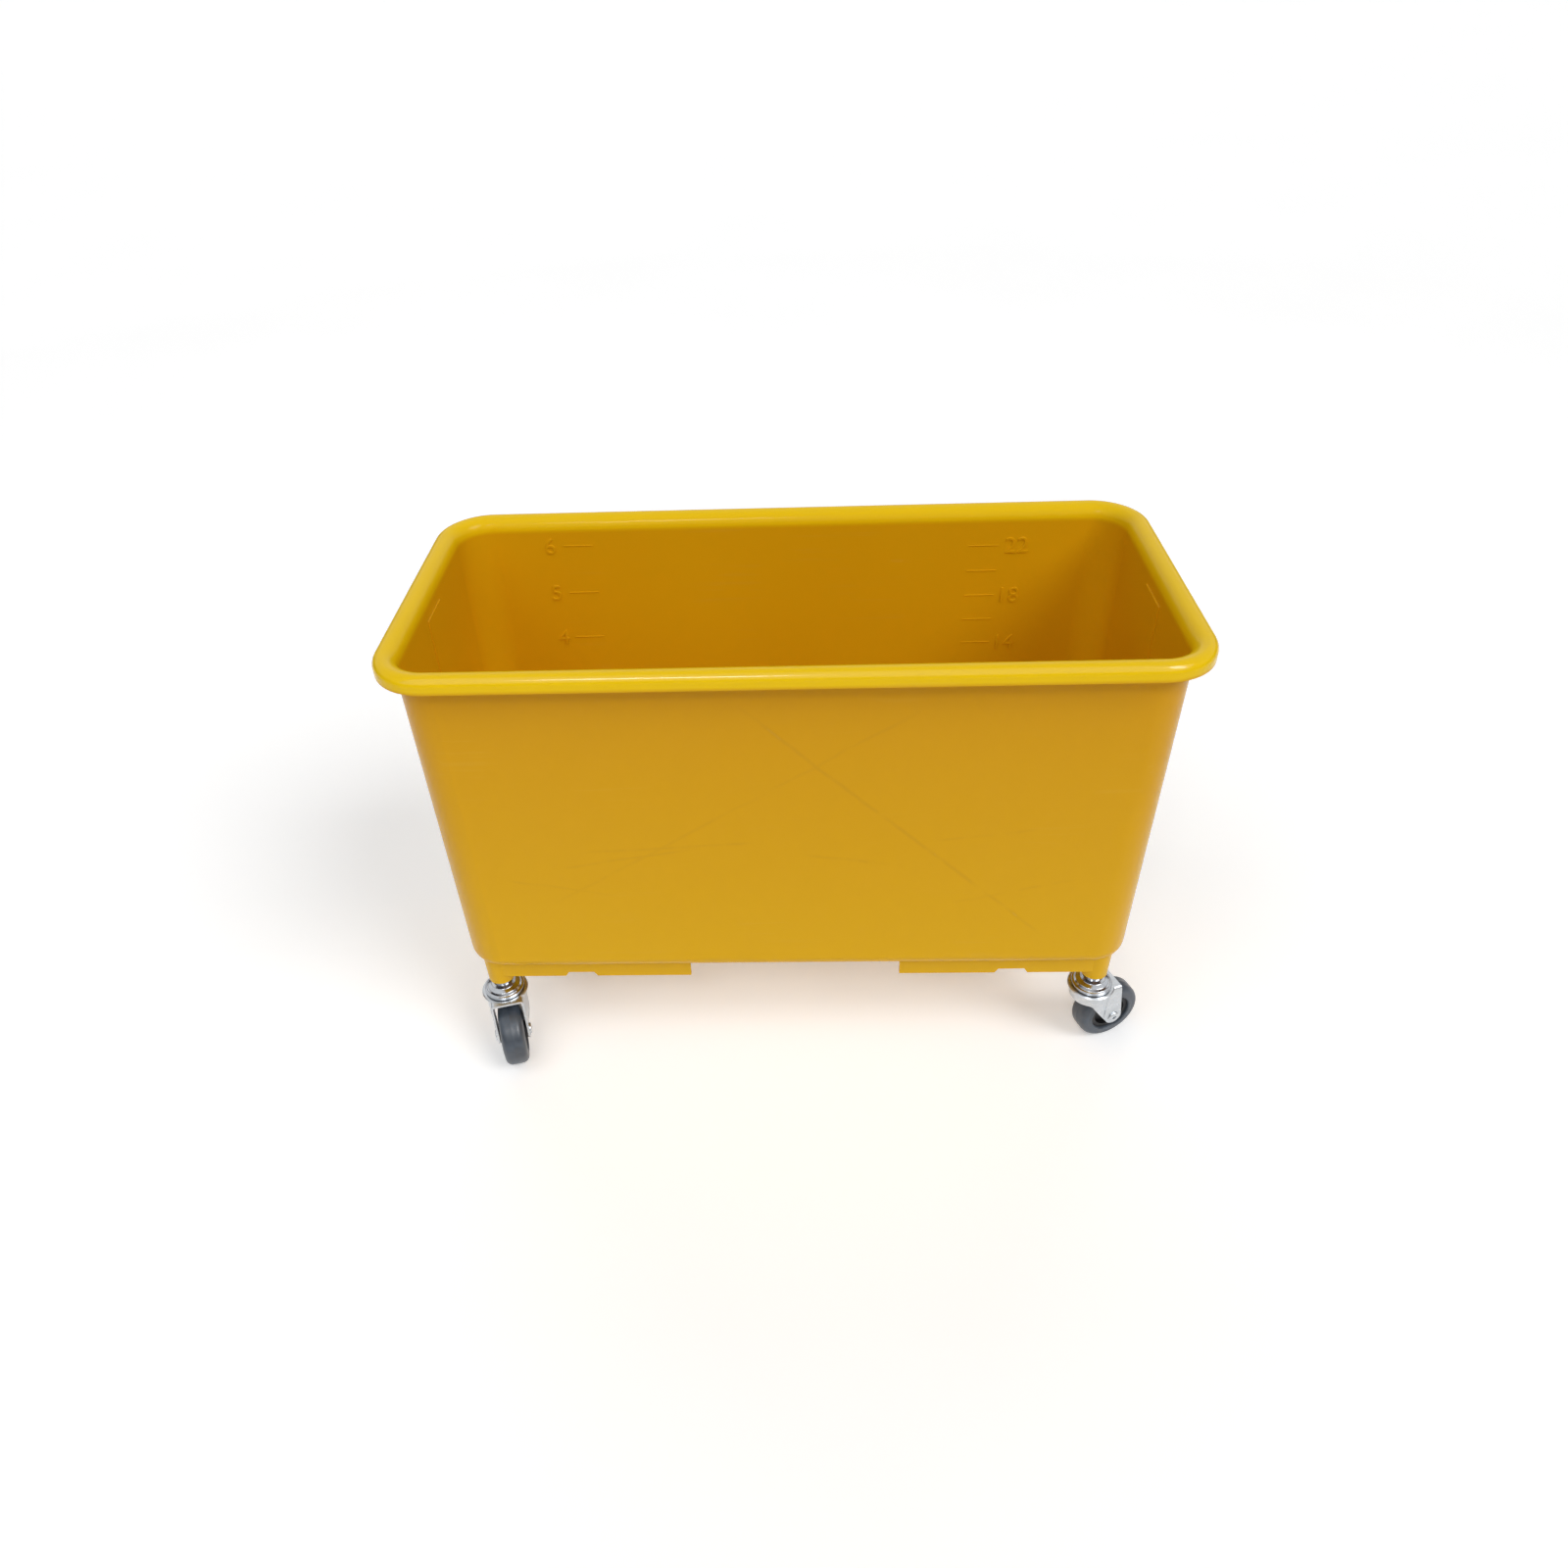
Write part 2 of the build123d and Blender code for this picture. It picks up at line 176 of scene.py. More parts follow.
def makeLongScuffGroup():
    # one long scuff on an upright wall: a soft broken line through a point, at an angle from level
    inputs = {"Point": (0, 0, 0), "Middle X": 0.0, "Middle Z": 0.2, "Angle": 0.0,
              "Half Length": 0.1, "Half Width": 0.0012, "Waviness": 0.002}
    group, start, end = newGroup("longScuff", inputs, ("Mask",))
    place = parted(group, start["Point"])
    dx = calc(group, "SUBTRACT", place[0], start["Middle X"])
    dz = calc(group, "SUBTRACT", place[2], start["Middle Z"])
    cosine = calc(group, "COSINE", start["Angle"])
    sine = calc(group, "SINE", start["Angle"])
    along = calc(group, "ADD", calc(group, "MULTIPLY", dx, cosine),
                 calc(group, "MULTIPLY", dz, sine))
    across = calc(group, "SUBTRACT", calc(group, "MULTIPLY", dz, cosine),
                  calc(group, "MULTIPLY", dx, sine))
    wander = spread(group, noise(group, start["Point"], 26.0), 0.0, 1.0, -1.0, 1.0, smooth=False)
    across = calc(group, "ADD", across, calc(group, "MULTIPLY", wander, start["Waviness"]))
    near = calc(group, "DIVIDE", calc(group, "ABSOLUTE", across), start["Half Width"])
    line = spread(group, near, 0.2, 1.0, 1.0, 0.0)
    reach = calc(group, "DIVIDE", calc(group, "ABSOLUTE", along), start["Half Length"])
    ends = spread(group, reach, 0.75, 1.0, 1.0, 0.0)
    broken = spread(group, noise(group, start["Point"], 38.0), 0.36, 0.58)
    feed(group, end["Mask"], calc(group, "MULTIPLY", calc(group, "MULTIPLY", line, ends), broken))
    return group


def makeDustGroup():
    # dust that settles low down and in patches
    inputs = {"Point": (0, 0, 0), "Low": 0.0, "High": 0.1, "Patches": 60.0}
    group, start, end = newGroup("settledDust", inputs, ("Mask",))
    height = parted(group, start["Point"])[2]
    low = spread(group, height, start["Low"], start["High"], 1.0, 0.0, smooth=False)
    cloud = noise(group, start["Point"], start["Patches"], detail=4.0, rough=0.6)
    feed(group, end["Mask"], calc(group, "MULTIPLY", low, spread(group, cloud, 0.35, 0.75)))
    return group


tubWalls = {
    "straight": (0.2195, 0.0795),     # half the straight runs between the corners, along X and Y
    "cornerFoot": 0.02173,            # outer radius of a corner, carried down to the floor
    "draft": 0.01136,                 # what the draft adds to that radius for each metre up
    "skin": (-0.0018, -0.0011),       # from the inner face to the outer one, 0 is the outer one
    "frontFace": (-0.07, -0.06),
    "shading": (0.10, 0.34),          # heights between which the outside is painted darker, as painted shade under the rim
}


def makeShellGroup(values):
    # Outside is 1 on the outer face of the drafted walls and 0 on the inner one,
    # by the distance from the tub's outline, which is a rounded rectangle
    group, start, end = newGroup("shellSide", {"Point": (0, 0, 0)}, ("Outside", "Front", "Height"))
    place = parted(group, start["Point"])
    squares = []
    for axis, straight in enumerate(values["straight"]):
        past = calc(group, "SUBTRACT", calc(group, "ABSOLUTE", place[axis]), straight)
        squares.append(calc(group, "POWER", calc(group, "MAXIMUM", past, 0.0), 2.0))
    reach = calc(group, "SQRT", calc(group, "ADD", *squares))
    inputs = {0: place[2], 1: values["draft"], 2: values["cornerFoot"]}
    corner = addNode(group, "ShaderNodeMath", inputs, operation="MULTIPLY_ADD").outputs[0]
    depth = calc(group, "SUBTRACT", reach, corner)
    outside = spread(group, depth, *values["skin"], smooth=False)
    front = spread(group, place[1], *values["frontFace"], 1.0, 0.0, smooth=False)
    feed(group, end["Outside"], outside)
    feed(group, end["Front"], calc(group, "MULTIPLY", outside, front))
    # Height rises from the foot to under the rim and sets how far the painted shade on the outside goes
    feed(group, end["Height"], spread(group, place[2], *values["shading"], smooth=False))
    return group


shellSide = makeShellGroup(tubWalls)
mouldGrain = makeGrainGroup()
hairScratches = makeHairGroup()
longScuff = makeLongScuffGroup()
settledDust = makeDustGroup()
print("stage: shared effects ready")


def useGrain(tree, point, values):
    return useGroup(tree, mouldGrain, {"Point": point, "Pebbles": values["pebbles"],
                                       "Ripples": values["ripples"],
                                       "Ripple Share": values["rippleShare"]})


def useHair(tree, point, values):
    fineness, amount = values["hair"]
    inputs = {"Point": point, "Fineness": fineness, "Amount": amount}
    return useGroup(tree, hairScratches, inputs)["Mask"]


def useDust(tree, point, values):
    top, patches = values["dustSpread"]
    inputs = {"Point": point, "Low": 0.0, "High": top, "Patches": patches}
    return useGroup(tree, settledDust, inputs)["Mask"]


# in every finish, hair is the scratches' fineness and amount, bump is strength and distance,
# and a pair under rough runs from the smoothest spots to the roughest
tubPlastic = {
    "colour": (0.775, 0.418, 0.0045),
    "deepColour": (0.755, 0.398, 0.004),
    "paintedLightRimColour": (0.865, 0.560, 0.004),         # painted light: the rim is painted a lighter lemon, standing in for the light its top catches
    "rimFoot": (0.3465, 0.3505),
    "paintedShadeUnderRim": (0.665, 0.320, 0.004),    # painted shade on the outside of the walls under the rim, fading from here down to the foot
    # the lighter foot end of that painted shade
    "footColour": (0.765, 0.430, 0.006),
    "outsideShare": 0.9,
    "skirtColour": (0.78, 0.445, 0.012),
    "skirtTop": (0.0925, 0.0955),
    "scuffColour": (0.46, 0.22, 0.015),
    "rubColour": (0.76, 0.44, 0.05),
    "hair": (260.0, 0.12),
    "hairDepth": 0.02,
    "rough": (0.20, 0.26),
    "roughPatches": 20.0,
    "rubRough": 0.18,                           # what scuffs and scratches add
    "rimPolish": 0.62,
    "specular": 0.12,
    "handledRough": 0.12,
    "handledFront": (-0.1153, -0.1141),
    "handledTop": (0.3545, 0.3556),
    "pebbles": 1100.0,
    "ripples": 8.0,
    "rippleShare": 0.9,
    "bump": (0.03, 0.01),
}

# long scuffs on the front wall: middle x and z, angle from level in degrees,
# half length, half width, and depth of tone
frontScuffs = (
    (0.071, 0.228, -44.0, 0.153, 0.0020, 0.17),
    (-0.040, 0.245, 32.8, 0.157, 0.0018, 0.11),
    (-0.084, 0.214, 3.0, 0.060, 0.0016, 0.16),
    (-0.110, 0.205, 10.0, 0.050, 0.0014, 0.14),
    (0.037, 0.201, -8.0, 0.030, 0.0022, 0.15),
    (0.130, 0.222, 8.0, 0.035, 0.0018, 0.12),
    (0.150, 0.170, 14.0, 0.045, 0.0018, 0.10),
    (-0.160, 0.178, -12.0, 0.040, 0.0016, 0.10),
)


def drawScuffs(tree, point):
    scuffs = None
    for x, z, degrees, halfLength, halfWidth, tone in frontScuffs:
        inputs = {"Point": point, "Middle X": x, "Middle Z": z, "Angle": math.radians(degrees),
                  "Half Length": halfLength, "Half Width": halfWidth}
        line = calc(tree, "MULTIPLY", useGroup(tree, longScuff, inputs)["Mask"], tone)
        scuffs = line if scuffs is None else calc(tree, "MAXIMUM", scuffs, line)
    return scuffs


def makeTubPlastic(values):
    material, tree, shader, point = newMaterial("tubPlastic")
    across, height = parted(tree, point)[1:]
    grain = useGrain(tree, point, values)
    base = mixColour(tree, grain["Tone"], values["deepColour"], values["colour"])
    # painted shade: the outside is painted darker towards the rim, and the rim itself is painted lighter where
    # light falls on its top
    shell = useGroup(tree, shellSide, {"Point": point})
    outside = mixColour(tree, shell["Height"], values["footColour"], values["paintedShadeUnderRim"])
    share = calc(tree, "MULTIPLY", shell["Outside"], values["outsideShare"])
    base = mixColour(tree, share, base, outside)
    # painted light: above the rim's foot the colour turns to a lighter lemon, as if lit from above
    base = mixColour(tree, spread(tree, height, *values["rimFoot"]), base, values["paintedLightRimColour"])
    base = mixColour(tree, spread(tree, height, *values["skirtTop"]), values["skirtColour"], base)
    scuffs = calc(tree, "MULTIPLY", drawScuffs(tree, point), shell["Front"])
    hair = useHair(tree, point, values)
    colour = mixColour(tree, hair, base, values["rubColour"])
    colour = mixColour(tree, scuffs, colour, values["scuffColour"])
    patches = noise(tree, point, values["roughPatches"], detail=4.0)
    rough = spread(tree, patches, 0.3, 0.7, *values["rough"])
    polish = spread(tree, height, *values["rimFoot"], 1.0, values["rimPolish"])
    rubbed = calc(tree, "MULTIPLY", calc(tree, "MAXIMUM", scuffs, hair), values["rubRough"])
    rough = calc(tree, "ADD", calc(tree, "MULTIPLY", rough, polish), rubbed, clamp=True)
    cuts = calc(tree, "MULTIPLY", hair, values["hairDepth"])
    relief = calc(tree, "SUBTRACT", grain["Height"], cuts)
    # hands and sleeves keep the front edge of the rim glossier
    handled = calc(tree, "MULTIPLY", spread(tree, across, *values["handledFront"], 1.0, 0.0),
                   spread(tree, height, *values["handledTop"]))
    setShader(tree, shader, colour=colour, rough=rough, specular=values["specular"],
              coat=handled, coatRough=values["handledRough"],
              normal=bump(tree, relief, *values["bump"]))
    return material


chromePlate = {
    "colour": (0.50, 0.52, 0.55),
    "shade": (0.42, 0.44, 0.47),
    "clouds": 260.0,
    "hair": (900.0, 0.6),
    "hairDepth": -0.3,
    "rough": (0.10, 0.16),
    "hairRough": 0.15,
    "bump": (0.02, 0.0001),
}


def makeChrome(values):
    material, tree, shader, point = newMaterial("chromePlate")
    cloud = noise(tree, point, values["clouds"], detail=4.0, rough=0.6)
    colour = mixColour(tree, spread(tree, cloud, 0.3, 0.75), values["colour"], values["shade"])
    hair = useHair(tree, point, values)
    rough = calc(tree, "ADD", spread(tree, cloud, 0.3, 0.7, *values["rough"]),
                 calc(tree, "MULTIPLY", hair, values["hairRough"]))
    relief = calc(tree, "ADD", cloud, calc(tree, "MULTIPLY", hair, values["hairDepth"]))
    setShader(tree, shader, colour=colour, rough=rough, metal=1.0,
              normal=bump(tree, relief, *values["bump"]))
    return material


# grain is the fineness of the streaks that drawing and plating leave
zincPlate = {
    "colour": (0.63, 0.66, 0.69),
    "shade": (0.54, 0.57, 0.60),
    "rough": (0.26, 0.34),
    "grain": 900.0,
    "bump": (0.04, 0.0004),
}
springSteel = {
    "colour": (0.38, 0.38, 0.40),
    "shade": (0.24, 0.24, 0.25),
    "rough": (0.30, 0.42),
    "grain": 900.0,
    "bump": (0.2, 0.0004),
}
ballSteel = {
    "colour": (0.72, 0.72, 0.74),
    "shade": (0.60, 0.60, 0.62),
    "rough": (0.10, 0.18),
    "grain": 400.0,
    "bump": (0.05, 0.0004),
}
steelWear = {
    "clouds": 120.0,
    "hair": (700.0, 0.7),
    "brightShare": 0.5,
    "bright": (0.85, 0.85, 0.85),     # bare metal in the scratches
}


def makeSteel(name, values, wear):
    material, tree, shader, point = newMaterial(name)
    drawn = turned(tree, point, (0, 18, 30), scale=(0.12, 1, 1))
    streaks = noise(tree, drawn, values["grain"], rough=0.6)
    cloud = noise(tree, point, wear["clouds"], detail=4.0, rough=0.6)
    mixed = calc(tree, "MULTIPLY", calc(tree, "ADD", streaks, cloud), 0.5)
    tone = mixColour(tree, spread(tree, mixed, 0.35, 0.65), values["shade"], values["colour"])
    worn = calc(tree, "MULTIPLY", useHair(tree, point, wear), wear["brightShare"])
    tone = mixColour(tree, worn, tone, wear["bright"])
    smoothest, roughest = values["rough"]
    rough = spread(tree, mixed, 0.35, 0.65, roughest, smoothest)
    setShader(tree, shader, colour=tone, rough=rough, metal=1.0,
              normal=bump(tree, streaks, *values["bump"]))
    return material


# dustSpread is the height that dust reaches and the fineness of its patches
tyreRubber = {
    "colour": (0.064, 0.082, 0.108),
    "dark": (0.046, 0.058, 0.076),
    "dust": (0.18, 0.19, 0.20),
    "dustSpread": (0.05, 160.0),
    "dustShare": 0.35,
    "dustRough": 0.2,
    "rough": (0.30, 0.42),
    "specular": 0.6,
    "pebbles": 1800.0,
    "ripples": 90.0,
    "rippleShare": 0.35,
    "bump": (0.10, 0.0008),
}


def makeRubber(values):
    material, tree, shader, point = newMaterial("tyreRubber")
    grain = useGrain(tree, point, values)
    dust = useDust(tree, point, values)
    colour = mixColour(tree, grain["Tone"], values["dark"], values["colour"])
    dusted = calc(tree, "MULTIPLY", dust, values["dustShare"])
    colour = mixColour(tree, dusted, colour, values["dust"])
    rough = calc(tree, "ADD", spread(tree, grain["Tone"], 0.0, 1.0, *values["rough"]),
                 calc(tree, "MULTIPLY", dust, values["dustRough"]), clamp=True)
    setShader(tree, shader, colour=colour, rough=rough, specular=values["specular"],
              normal=bump(tree, grain["Height"], *values["bump"]))
    return material


hubNylon = {
    "colour": (0.018, 0.018, 0.020),
    "worn": (0.045, 0.045, 0.048),
    "dustSpread": (0.06, 220.0),
    "dustShare": 0.6,
    "rough": (0.42, 0.55),
    "specular": 0.4,
    "pebbles": 2200.0,
    "ripples": 120.0,
    "rippleShare": 0.3,
    "bump": (0.1, 0.0006),
}


def makeHubNylon(values):
    material, tree, shader, point = newMaterial("hubNylon")
    grain = useGrain(tree, point, values)
    dusted = calc(tree, "MULTIPLY", useDust(tree, point, values), values["dustShare"])
    colour = mixColour(tree, dusted, values["colour"], values["worn"])
    rough = spread(tree, grain["Tone"], 0.0, 1.0, *values["rough"])
    setShader(tree, shader, colour=colour, rough=rough, specular=values["specular"],
              normal=bump(tree, grain["Height"], *values["bump"]))
    return material


finishes = {
    "tub_plastic": makeTubPlastic(tubPlastic),
    "chrome": makeChrome(chromePlate),
    "zinc": makeSteel("zincPlate", zincPlate, steelWear),
    "spring_steel": makeSteel("springSteel", springSteel, steelWear),
    "ball_steel": makeSteel("ballSteel", ballSteel, steelWear),
    "hub_plastic": makeHubNylon(hubNylon),
    "tyre_rubber": makeRubber(tyreRubber),
}
for part in frame["record"]["subparts"]:
    for holder in nodes[part["node"]].material_slots:
        holder.material = finishes[part["material_slot"]]
print("stage: materials on", len(nodes), "nodes")


def newObject(name, data):
    made = bpy.data.objects.new(name, data)
    bpy.context.scene.collection.objects.link(made)
    return made


def meshFrom(shape, name):
    mesh = bpy.data.meshes.new(name)
    shape.to_mesh(mesh)
    shape.free()
    return mesh


def newPiece(name, mesh, body, slot, replaced=()):
    mesh.update()
    piece = newObject(name, mesh)
    mesh.materials.clear()
    mesh.materials.append(finishes[slot])
    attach(piece, body)
    if replaced:
        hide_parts(*replaced)
    return piece


# raised marks on the inside of the rear wall, in millimetres
levelMarks = {
    "wallFoot": (94.5, 99.3),        # height and y of that wall at the tub's foot
    "wallLean": 3 / 264,
    "top": 329.4,                    # height of the 22 litre mark
    "step": 20.58,                   # from one mark to the next, 2 litres
    "gallon": 1.8927,                # steps in one gallon
    "gallonLead": 0.356,             # steps from the 22 litre mark up to the 6 gallon mark
    "sink": 0.25,                    # how far a mark goes into the wall
    "tickStand": 0.38,               # how far a tick stands off the wall
    "tickHeight": 0.8,
    "tickBevel": 0.24,
    "litreTicks": (133.8, 22.4),     # left end and length
    "gallonTicks": (-169.5, 22.5),
    "figureStand": 0.55,
    "figureHeight": 13.0,
    "figureShare": 0.73,             # height of a figure as a share of the font's size
    "figureBevel": 0.12,
    "litreFigures": 161.3,           # left edge
    "gallonFigures": -182.9,
}


def wallY(values, height):
    foot, y = values["wallFoot"]
    return y + (height - foot) * values["wallLean"]


def makeTicks(values, name, start, length, heights):
    shape = bmesh.new()
    thick = values["tickStand"] + values["sink"]
    for height in heights:
        made = bmesh.ops.create_cube(shape, size=1.0)["verts"]
        bmesh.ops.scale(shape, verts=made, vec=(length, thick, values["tickHeight"]))
        middle = wallY(values, height) - values["tickStand"] + thick / 2
        bmesh.ops.translate(shape, verts=made, vec=(start + length / 2, middle, height))
    # only the edges that stand clear of the wall are rounded
    front = [e for e in shape.edges if all(v.co.y < wallY(values, v.co.z) for v in e.verts)]
    bmesh.ops.bevel(shape, geom=front, offset=values["tickBevel"], segments=3, profile=0.5,
                    affect="EDGES", material=-1)
    bmesh.ops.scale(shape, verts=shape.verts, vec=(mm, mm, mm))
    return newPiece(name, meshFrom(shape, name), "trolley", "tub_plastic")


def makeFigure(values, name, text, start, height):
    curve = bpy.data.curves.new(name, "FONT")
    curve.body = text
    curve.size = values["figureHeight"] / values["figureShare"]
    curve.extrude = (values["figureStand"] + values["sink"]) / 2
    curve.bevel_depth = values["figureBevel"]
    curve.bevel_resolution = 1
    curve.offset = -values["figureBevel"]
    holder = newObject(name + "_text", curve)
    ready = holder.evaluated_get(bpy.context.evaluated_depsgraph_get())
    mesh = bpy.data.meshes.new_from_object(ready)
    bpy.data.objects.remove(holder)
    mesh.name = name
    # left edge and mid height go to the origin, then the figure leans with the wall
    left = min(v.co.x for v in mesh.vertices)
    levels = [v.co.y for v in mesh.vertices]
    mesh.transform(Matrix.Translation((-left, -(min(levels) + max(levels)) / 2, 0)))
    lean = math.radians(90) - math.atan(values["wallLean"])
    mesh.transform(Matrix.Rotation(lean, 4, "X"))
    y = wallY(values, height) + (values["sink"] - values["figureStand"]) / 2
    mesh.transform(Matrix.Translation((start, y, height)))
    mesh.transform(Matrix.Scale(mm, 4))
    return newPiece(name, mesh, "trolley", "tub_plastic")


def makeMarks(values):
    litres = [values["top"] - values["step"] * k for k in range(5)]
    gallonTop = values["top"] + values["step"] * values["gallonLead"]
    gallons = [gallonTop - values["step"] * values["gallon"] * k for k in range(3)]
    makeTicks(values, "litre_ticks", *values["litreTicks"], litres)
    makeTicks(values, "gallon_ticks", *values["gallonTicks"], gallons)
    for figure, height in zip(("22", "18", "14"), litres[::2]):
        makeFigure(values, f"litre_{figure}", figure, values["litreFigures"], height)
    for figure, height in zip(("6", "5", "4"), gallons):
        makeFigure(values, f"gallon_{figure}", figure, values["gallonFigures"], height)
    print("stage: level marks")


# the moulded tyre, in millimetres
tyreShape = {
    "radius": 25.0,
    "width": 18.5,
    "bore": 16.0,
    "beadChamfer": 0.7,
    "beadTop": 1.7,         # from the bore to the end of the bead's flat
    "beadFoot": 2.5,        # from the bore to where the wall begins
    "beadStep": 0.45,       # how far the wall lies behind the bead
    "shoulder": 5.0,
    "shoulderSteps": 7,
    "seamHeight": 0.07,
    "seamFoot": 0.35,       # half widths of the mould seam
    "seamTop": 0.14,
    "turnSteps": 96,
    "smoothAngle": 30.0,
}


def setOrder(elements, middle):
    # the operators leave their faces in another order each run, so they are put in one
    # order by place; sort() without a key follows the indices
    ranked = sorted(elements, key=lambda element: [round(number, 4) for number in middle(element)])
    for index, element in enumerate(ranked):
        element.index = index
    elements.sort()


def spinTyre(values):
    # one half of the outline as radius and distance along the axle, then its mirror image
    half, bore = values["width"] / 2, values["bore"]
    wall = half - values["beadStep"]
    tread = values["radius"] - values["seamHeight"]
    side = [(bore, half - values["beadChamfer"]), (bore + values["beadChamfer"], half),
            (bore + values["beadTop"], half), (bore + values["beadFoot"], wall), (tread, wall)]
    shoulder = len(side) - 1
    side += [(tread, values["seamFoot"]), (values["radius"], values["seamTop"])]
    outline = side + [(radius, -across) for radius, across in reversed(side)]
    shape = bmesh.new()
    made = [shape.verts.new((across, radius, 0)) for radius, across in outline]
    for a, b in zip(made, made[1:] + made[:1]):
        shape.edges.new((a, b))
    for vertex in (made[shoulder], made[-1 - shoulder]):
        bmesh.ops.bevel(shape, geom=[vertex], offset=values["shoulder"],
                        segments=values["shoulderSteps"], profile=0.5, affect="VERTICES",
                        material=-1)
    bmesh.ops.spin(shape, geom=shape.edges[:], cent=(0, 0, 0), axis=(1, 0, 0),
                   angle=2 * math.pi, steps=values["turnSteps"], use_merge=True,
                   use_duplicate=False)
    bmesh.ops.remove_doubles(shape, verts=shape.verts, dist=1e-4)
    bmesh.ops.recalc_face_normals(shape, faces=shape.faces)
    setOrder(shape.verts, lambda vertex: vertex.co)
    setOrder(shape.faces, lambda face: face.calc_center_median())
    return shape


def makeTyre(values, corner):
    # the tyre is turned about X and then put on the axle of its corner's wheel
    name = f"moulded_tyre_{corner}"
    joint = joints[f"wheel_spin_{corner}"]
    turn = Vector((1, 0, 0)).rotation_difference(Vector(joint["axis"])).to_matrix().to_4x4()
    mesh = meshFrom(spinTyre(values), name)
    mesh.transform(Matrix.Translation(joint["pos_m"]) @ turn @ Matrix.Scale(mm, 4))
    mesh.shade_smooth()
    mesh.set_sharp_from_angle(angle=math.radians(values["smoothAngle"]))
    return newPiece(name, mesh, f"wheel_{corner}", "tyre_rubber", [f"tyre_{corner}"])


makeMarks(levelMarks)
for corner in corners:
    makeTyre(tyreShape, corner)
print("stage: tyres")


paperFloor = {
    "size": 40.0,
    "colour": (0.92, 0.92, 0.92),
    "mottle": (0.985, 1.0),
    "mottleScale": 3.0,
    "rough": 0.8,
    "specular": 0.1,
    "lift": 0.27,           # the paper's own white, only where it is seen
}


def seenDirectly(tree):
    # 1 where the camera looks straight on, in a reflection or through glass
    path = addNode(tree, "ShaderNodeLightPath").outputs
    seen = calc(tree, "MAXIMUM", path["Is Camera Ray"], path["Is Glossy Ray"])
    return calc(tree, "MAXIMUM", seen, path["Is Transmission Ray"])


def makeFloor(values):
    shape = bmesh.new()
    bmesh.ops.create_grid(shape, x_segments=1, y_segments=1, size=values["size"] / 2)
    mesh = meshFrom(shape, "floor")
    floor = newObject("floor", mesh)
    material, tree, shader, point = newMaterial("floorPaper")
    patches = noise(tree, point, values["mottleScale"])
    tone = spread(tree, patches, 0.3, 0.7, *values["mottle"])
    grey = addNode(tree, "ShaderNodeCombineColor", {0: tone, 1: tone, 2: tone}).outputs[0]
    colour = mixColour(tree, 1.0, values["colour"], grey, "MULTIPLY")
    setShader(tree, shader, colour=colour, rough=values["rough"], specular=values["specular"])
    lift = calc(tree, "MULTIPLY", seenDirectly(tree), values["lift"])
    inputs = {"Color": (1, 1, 1, 1), "Strength": lift}
    glow = addNode(tree, "ShaderNodeEmission", inputs).outputs[0]
    both = addNode(tree, "ShaderNodeAddShader", {0: shader.outputs[0], 1: glow}).outputs[0]
    output = next(n for n in tree.nodes if n.type == "OUTPUT_MATERIAL")
    feed(tree, output.inputs[0], both)
    mesh.materials.append(material)


# softLights: bearing from the front towards +X, height above level and apparent size,
# all in degrees, then strength
studio = {
    "worldFill": 0.11,
    "softLights": {
        "keyLight": (55.0, 46.0, 30.0, 1.36),
        "frontLight": (0.0, 28.0, 50.0, 0.28),
        "leftLight": (322.0, 40.0, 50.0, 0.28),
        "upperLight": (300.0, 62.0, 30.0, 0.46),
        "rearLight": (185.0, 32.0, 60.0, 0.78),
    },
    "mirrored": ("keyLight",),      # the soft lights that show in reflections
    "stripEnergy": 9.0,
    "stripSize": (0.7, 0.42),
    "stripPlace": (-0.38, -1.92, 2.30),
    "stripAim": (-0.06, -0.115, 0.355),
}


def aimed(place, aim):
    return (Vector(aim) - Vector(place)).to_track_quat("-Z", "Y").to_euler()


def makeRoom(values):
    # a white room to look at, and little light from it
    world = bpy.data.worlds.new("softRoom")
    bpy.context.scene.world = world
    tree = emptyTree(world)
    fill, white = [addNode(tree, "ShaderNodeBackground",
                           {"Color": (1, 1, 1, 1), "Strength": strength}).outputs[0]
                   for strength in (values["worldFill"], 1.0)]
    inputs = {0: seenDirectly(tree), 1: fill, 2: white}
    both = addNode(tree, "ShaderNodeMixShader", inputs).outputs[0]
    addNode(tree, "ShaderNodeOutputWorld", {"Surface": both})


def makeLights(values):
    for name, (bearing, rise, width, energy) in values["softLights"].items():
        sun = bpy.data.lights.new(name, "SUN")
        sun.energy = energy
        sun.angle = math.radians(width)
        lamp = newObject(name, sun)
        lamp.visible_glossy = name in values["mirrored"]
        bearing, rise = math.radians(bearing), math.radians(rise)
        towards = (math.sin(bearing) * math.cos(rise), -math.cos(bearing) * math.cos(rise),
                   math.sin(rise))
        lamp.rotation_euler = aimed(towards, (0, 0, 0))
    strip = bpy.data.lights.new("stripLamp", "AREA")
    strip.energy = values["stripEnergy"]
    strip.shape = "RECTANGLE"
    strip.size, strip.size_y = values["stripSize"]
    lamp = newObject("stripLamp", strip)
    lamp.location = values["stripPlace"]
    lamp.rotation_euler = aimed(values["stripPlace"], values["stripAim"])


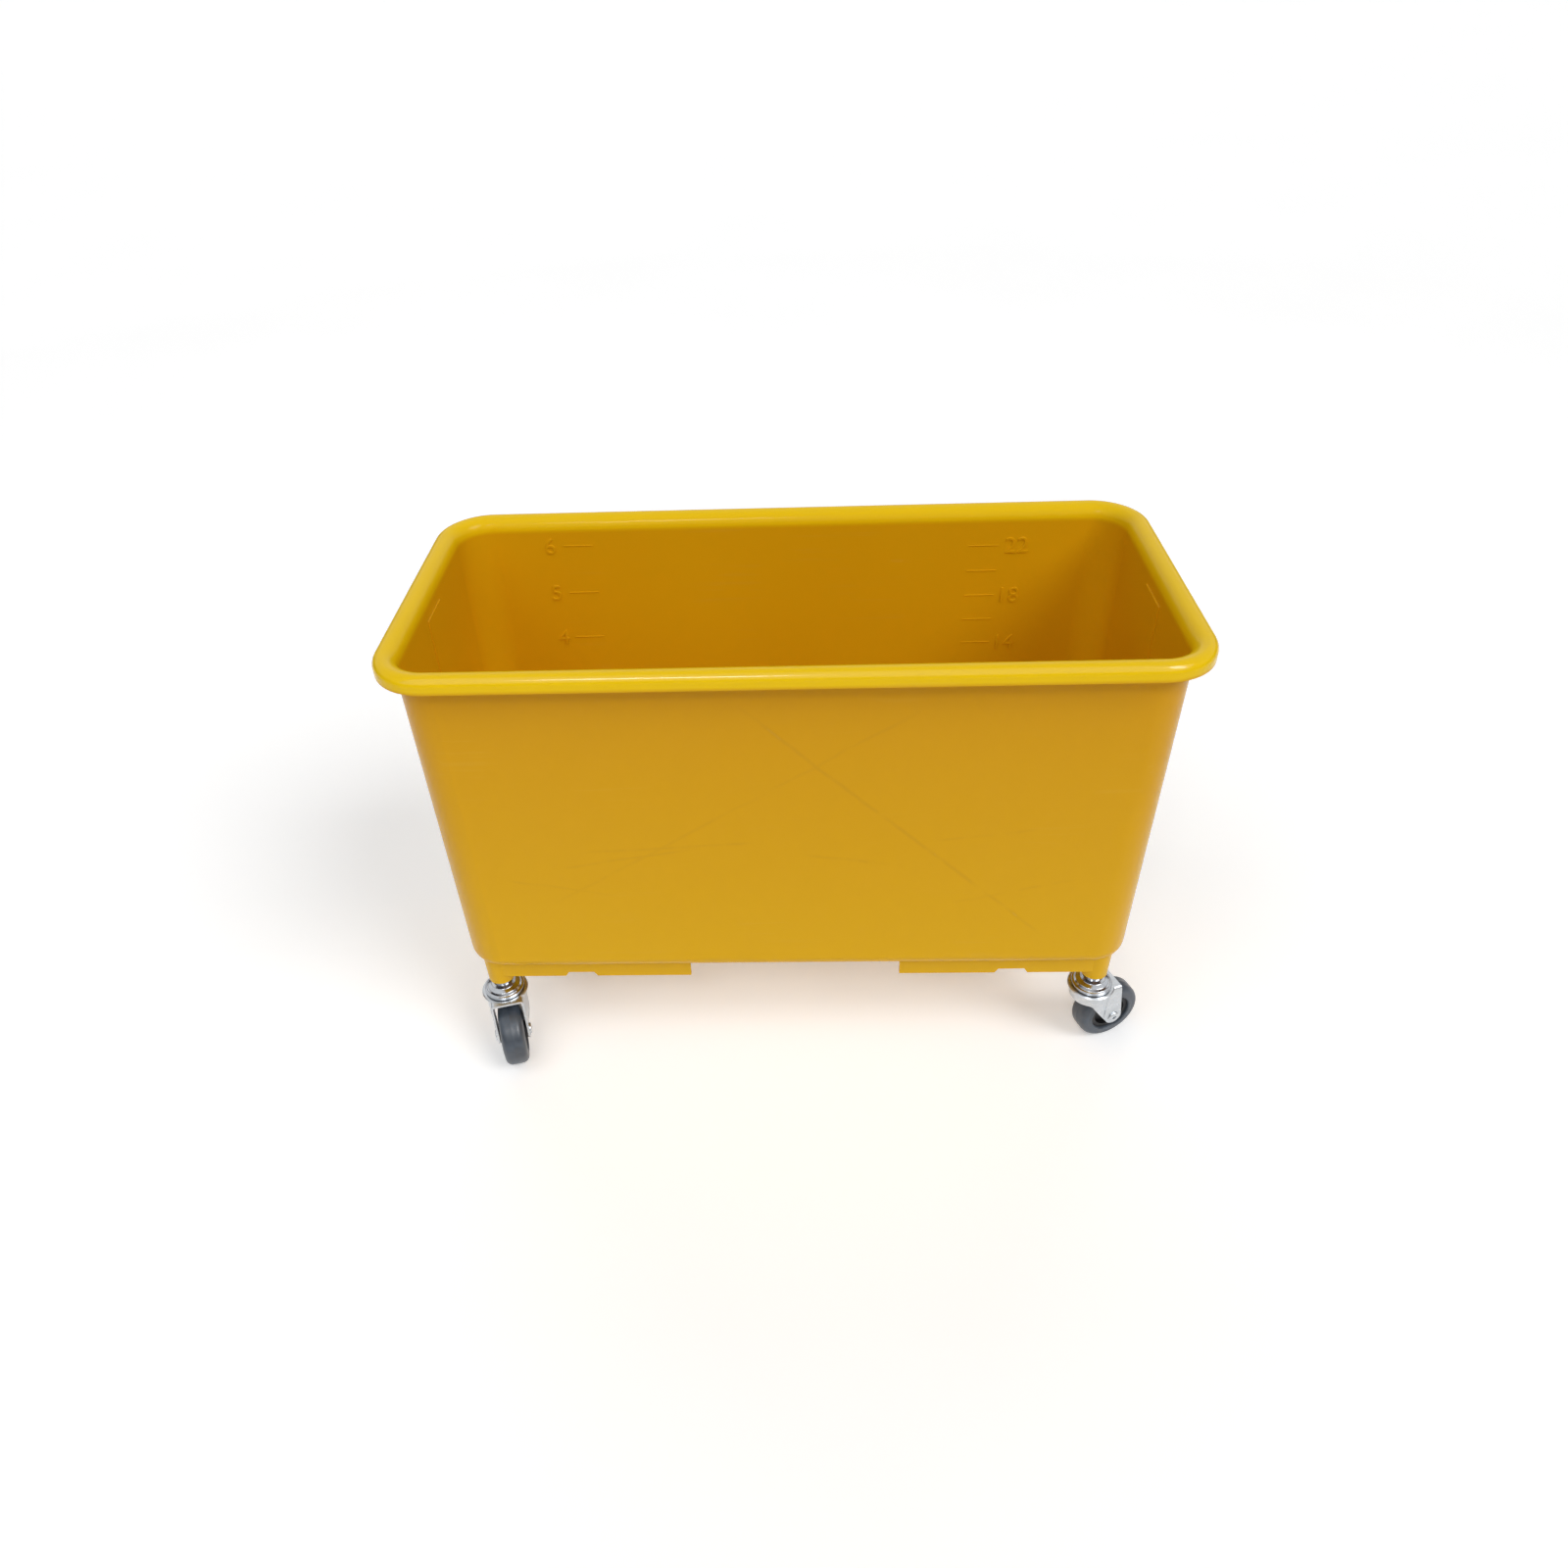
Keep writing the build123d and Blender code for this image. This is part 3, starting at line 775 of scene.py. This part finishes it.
roomBand = {
    "radius": 2.5,
    "height": 1.0,
    "foot": 0.01,
    "sides": 64,
    "dark": (0.035, 0.037, 0.042),
    "warm": (0.17, 0.095, 0.055),
    "patches": 1.1,
    "fade": 0.6,            # share of the height at which the band begins to turn white
}


def makeRoomBand(values):
    # a dark band round the horizon that only polished surfaces see, as a room gives chrome
    # its contrast
    shape = bmesh.new()
    bmesh.ops.create_cone(shape, segments=values["sides"], radius1=values["radius"],
                          radius2=values["radius"], depth=values["height"], cap_ends=False)
    middle = values["height"] / 2 + values["foot"]
    bmesh.ops.translate(shape, verts=shape.verts, vec=(0, 0, middle))
    mesh = meshFrom(shape, "roomBand")
    band = newObject("roomBand", mesh)
    material = bpy.data.materials.new("roomBand")
    tree = emptyTree(material)
    point = addNode(tree, "ShaderNodeTexCoord").outputs["Object"]
    patches = noise(tree, point, values["patches"], detail=2.0, distort=0.4)
    colour = mixColour(tree, spread(tree, patches, 0.42, 0.58), values["dark"], values["warm"])
    top = spread(tree, parted(tree, point)[2], values["height"] * values["fade"], values["height"])
    colour = mixColour(tree, top, colour, (1, 1, 1))
    glow = addNode(tree, "ShaderNodeEmission", {"Color": colour, "Strength": 1.0}).outputs[0]
    addNode(tree, "ShaderNodeOutputMaterial", {"Surface": glow})
    mesh.materials.append(material)
    band.visible_camera = band.visible_diffuse = False
    band.visible_shadow = band.visible_transmission = False


photoView = {
    "place": (0.00327, -0.68574, 0.71697),
    "turn": (52.5002, 2.0597, 1.3080),       # degrees
    "lens": 26.346,
    "sensor": 36.0,
    "shift": (34.2 / 1600, -4.0 / 1600),     # pixels of a 1600 pixel picture
    "nearest": 0.01,
}


def makeCamera(values):
    view = bpy.data.cameras.new("photoView")
    view.sensor_width = values["sensor"]
    view.lens = values["lens"]
    view.shift_x, view.shift_y = values["shift"]
    view.clip_start = values["nearest"]
    camera = newObject("photoView", view)
    camera.location = values["place"]
    camera.rotation_euler = [math.radians(a) for a in values["turn"]]
    bpy.context.scene.camera = camera


makeFloor(paperFloor)
makeRoom(studio)
makeLights(studio)
makeRoomBand(roomBand)
makeCamera(photoView)
bpy.context.scene.view_settings.view_transform = "Standard"
print("stage: studio and camera")
